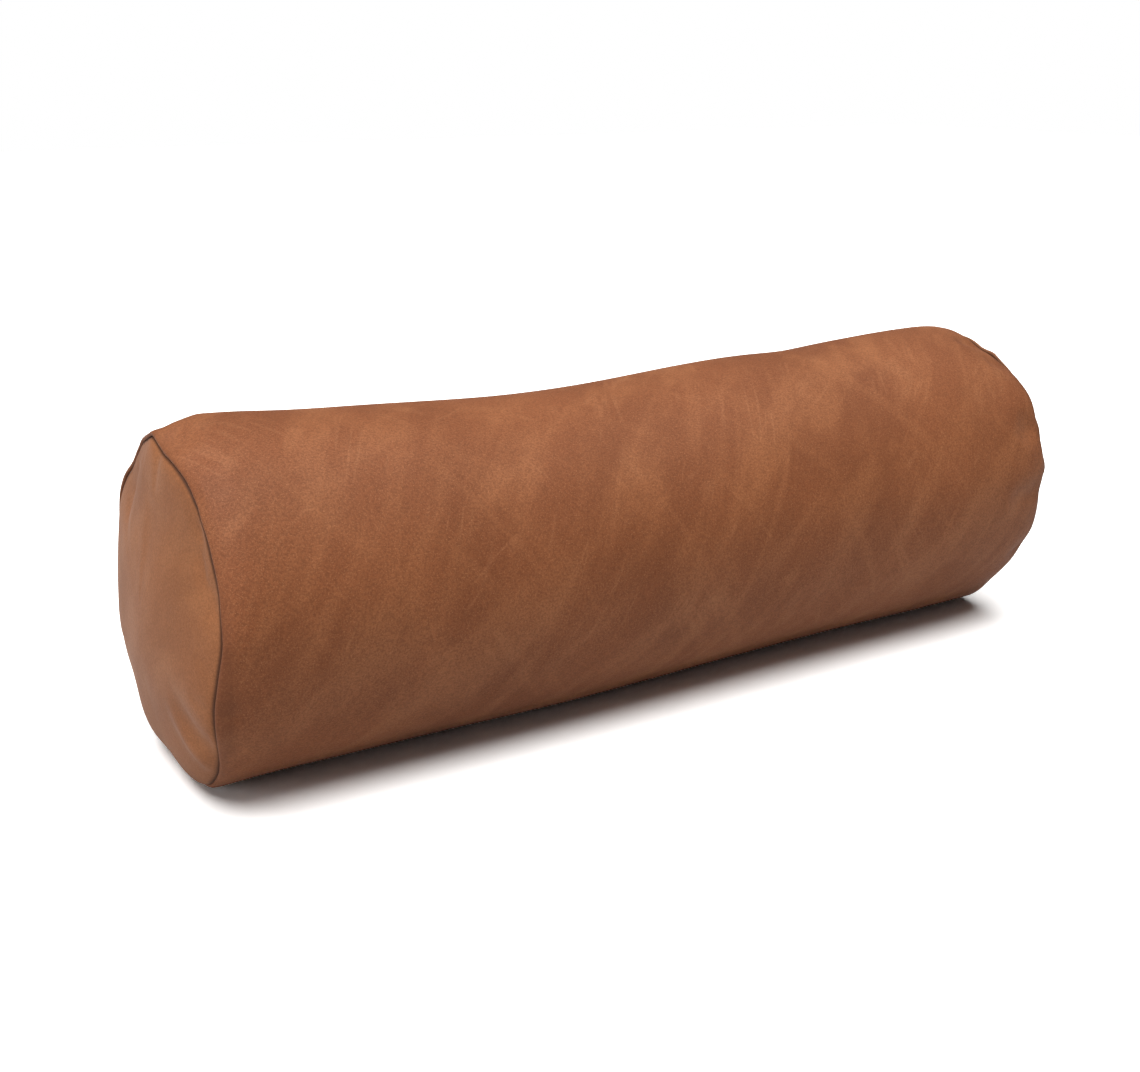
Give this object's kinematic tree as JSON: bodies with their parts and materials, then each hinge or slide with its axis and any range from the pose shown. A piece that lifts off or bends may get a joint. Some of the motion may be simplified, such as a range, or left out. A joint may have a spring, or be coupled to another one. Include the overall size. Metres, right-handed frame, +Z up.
{
  "type": "bolster pillow",
  "caption": "Round leather bolster pillow: a tube with domed, sewn-in ends, a back zip with a sliding pull, and a fibre-filled cotton liner inside.",
  "frame": {"origin": "middle of the flat patch that the bolster rests on, midway between the two end seams", "axes": "+X along the bolster, -Y its front, +Y the side with the zip, +Z up"},
  "size_m": [0.613, 0.2034, 0.196],
  "materials": {
    "leather": "matte pull-up leather, cognac brown, mottled",
    "seam_thread": "brown bonded thread",
    "topstitch_thread": "brown waxed thread",
    "zip_tape": "woven tape, dark brown",
    "zip_coil": "dark brown coil",
    "zip_metal": "antique brass, satin",
    "liner_cotton": "unbleached plain-weave cotton",
    "liner_thread": "white thread",
    "fibre": "white hollow fibre"
  },
  "bodies": {
    "cover": {"cover_body_panel": "leather", "cover_end_panel_left": "leather", "cover_end_panel_right": "leather", "end_seam_thread_left": "seam_thread", "end_seam_thread_right": "seam_thread", "fibre_fill": "fibre", "liner_body": "liner_cotton", "liner_closing_thread": "liner_thread", "liner_end_panel_left": "liner_cotton", "liner_end_panel_right": "liner_cotton", "liner_end_thread_left": "liner_thread", "liner_end_thread_right": "liner_thread", "long_seam_thread_left": "seam_thread", "long_seam_thread_right": "seam_thread", "zip_bottom_stop": "zip_metal", "zip_coil_lower": "zip_coil", "zip_coil_upper": "zip_coil", "zip_end_tack_left": "topstitch_thread", "zip_end_tack_right": "topstitch_thread", "zip_tape_lower": "zip_tape", "zip_tape_upper": "zip_tape", "zip_top_stops": "zip_metal", "zip_topstitch_lower": "topstitch_thread", "zip_topstitch_upper": "topstitch_thread"},
    "zip_slider": {"zip_slider": "zip_metal"},
    "zip_pull": {"zip_pull_tab": "zip_metal"}
  },
  "joints": [
    {"name": "zip_slide", "type": "slide", "parent": "cover", "child": "zip_slider", "axis": [-1, 0, 0], "range_m": [0, 0.4525], "deforming": ["zip_coil_upper", "zip_coil_lower"]},
    {"name": "pull_flip", "type": "hinge", "parent": "zip_slider", "child": "zip_pull", "pos_m": [0.224, 0.10111, 0.11021], "axis": [0, 0.1392, -0.9903], "range_deg": [0, 180]}
  ]
}
